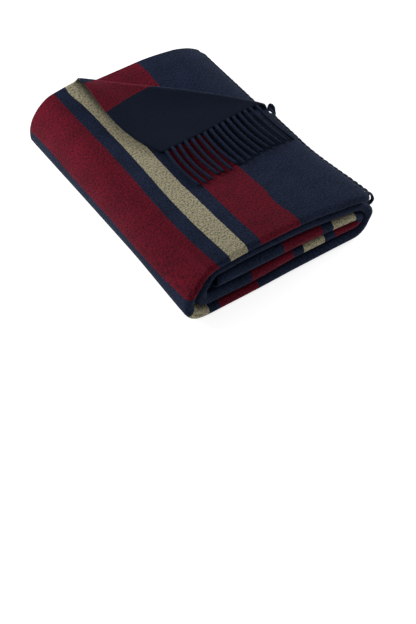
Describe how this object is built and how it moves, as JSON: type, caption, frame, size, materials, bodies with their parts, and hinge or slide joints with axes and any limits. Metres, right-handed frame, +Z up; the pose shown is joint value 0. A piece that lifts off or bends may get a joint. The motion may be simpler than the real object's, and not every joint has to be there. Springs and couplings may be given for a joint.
{
  "type": "folded fringed wool throw blanket",
  "caption": "Felted wool throw in navy with burgundy and beige stripes, folded and rolled flat, with one corner of its fringed end turned over on top.",
  "frame": {"origin": "centre of the bottom of the folded stack's box, on the surface it lies on", "axes": "+X across the stripes, from the rolled spine to the fringed side; +Y along the stripes, from the front folds to the back; +Z up"},
  "size_m": [0.3422, 0.4434, 0.1092],
  "materials": {
    "striped_wool": "felted navy wool with burgundy and flecked beige cross stripes",
    "fringe_yarn": "twisted navy wool strands"
  },
  "bodies": {
    "root": {"blanket_cloth": "striped_wool", "fringe_outer": "fringe_yarn", "fringe_inner": "fringe_yarn"}
  },
  "joints": []
}
